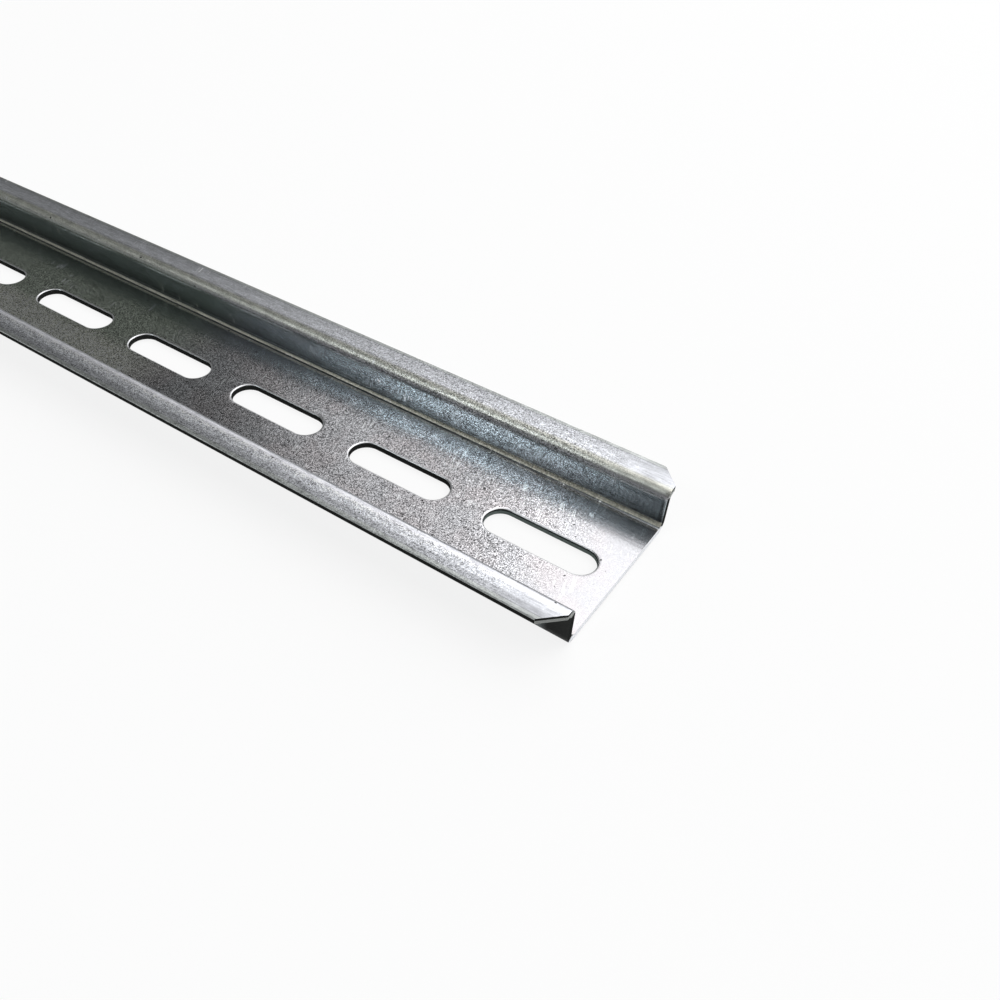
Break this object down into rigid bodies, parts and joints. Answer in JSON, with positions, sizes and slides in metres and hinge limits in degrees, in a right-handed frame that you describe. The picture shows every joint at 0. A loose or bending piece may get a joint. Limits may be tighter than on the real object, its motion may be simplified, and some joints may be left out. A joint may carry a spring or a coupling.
{
  "type": "din rail",
  "caption": "Slotted top-hat mounting rail rolled from zinc-plated steel strip, with a flat web, two low walls and outward lips clipped at the corners.",
  "frame": {"origin": "middle of the back of the web, which is the plane that the rail is screwed down on", "axes": "+X along the rail, +Y across it, +Z out from the back of the web towards the lips"},
  "size_m": [0.3, 0.035, 0.0075],
  "materials": {
    "zinc_plated_steel": "bright zinc plating over cold-rolled steel strip, with a fine grain and faint rolling lines"
  },
  "bodies": {
    "root": {"rail": "zinc_plated_steel"}
  },
  "joints": []
}
